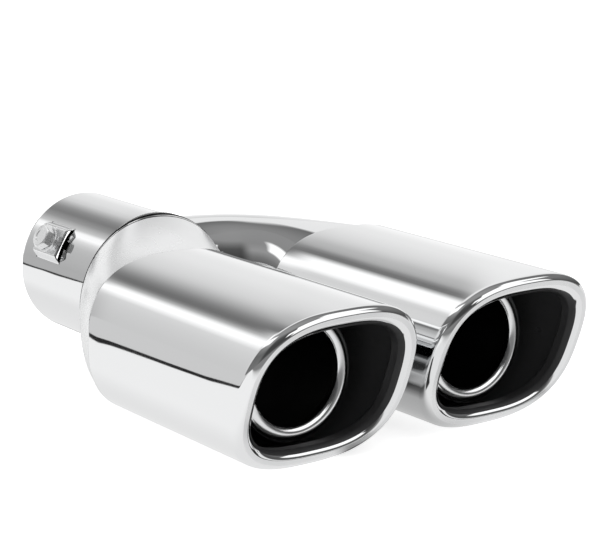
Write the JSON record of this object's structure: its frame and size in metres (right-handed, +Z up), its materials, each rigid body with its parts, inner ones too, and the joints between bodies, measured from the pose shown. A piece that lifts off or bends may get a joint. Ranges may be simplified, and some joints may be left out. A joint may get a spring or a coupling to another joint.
{
  "type": "exhaust tip",
  "caption": "Polished twin exhaust tip with slanted oval outlets, a round inlet sleeve and a screw clamp.",
  "frame": {"origin": "centre of the inlet sleeve's mouth", "axes": "+Y out of the inlet towards the car's tailpipe, -Y towards the outlets, +Z up, +X towards the branch outlet"},
  "size_m": [0.1737, 0.2145, 0.0769],
  "materials": {
    "polished_steel": "mirror polished stainless steel",
    "inner_steel": "dark, unpolished",
    "weld": "satin",
    "zinc_plate": "bright zinc plate"
  },
  "bodies": {
    "root": {"inlet_sleeve": "polished_steel", "clamp_bolt": "zinc_plate", "clamp_washer": "zinc_plate", "clamp_nut": "zinc_plate", "left_cap": "polished_steel", "branch_pipe": "polished_steel", "right_cap": "polished_steel", "left_casing": "polished_steel", "right_casing": "polished_steel", "left_baffle": "inner_steel", "right_baffle": "inner_steel", "left_inner_tube": "polished_steel", "right_inner_tube": "polished_steel", "sleeve_weld": "weld"}
  },
  "joints": []
}
